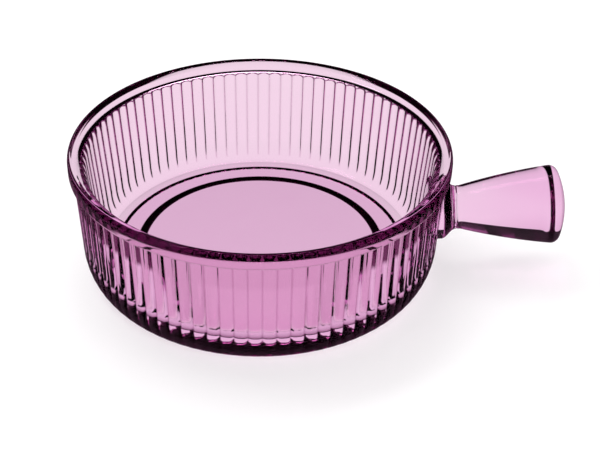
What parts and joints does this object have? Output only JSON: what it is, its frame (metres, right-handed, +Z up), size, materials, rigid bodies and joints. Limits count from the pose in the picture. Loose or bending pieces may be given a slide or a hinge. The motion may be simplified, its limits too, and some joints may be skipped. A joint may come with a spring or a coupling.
{
  "type": "casserole dish",
  "caption": "Round amethyst glass casserole dish with a reeded wall, a smooth rim band and a solid tapered stub handle.",
  "frame": {"origin": "on the ground under the middle of the whole dish, handle included; the bowl's axis is at X -27.5 mm", "axes": "+X from the bowl along the handle, +Z up"},
  "size_m": [0.235, 0.18, 0.0616],
  "materials": {
    "bowl_glass": "gloss",
    "handle_glass": "gloss"
  },
  "bodies": {
    "root": {"bowl": "bowl_glass", "handle": "handle_glass"}
  },
  "joints": []
}
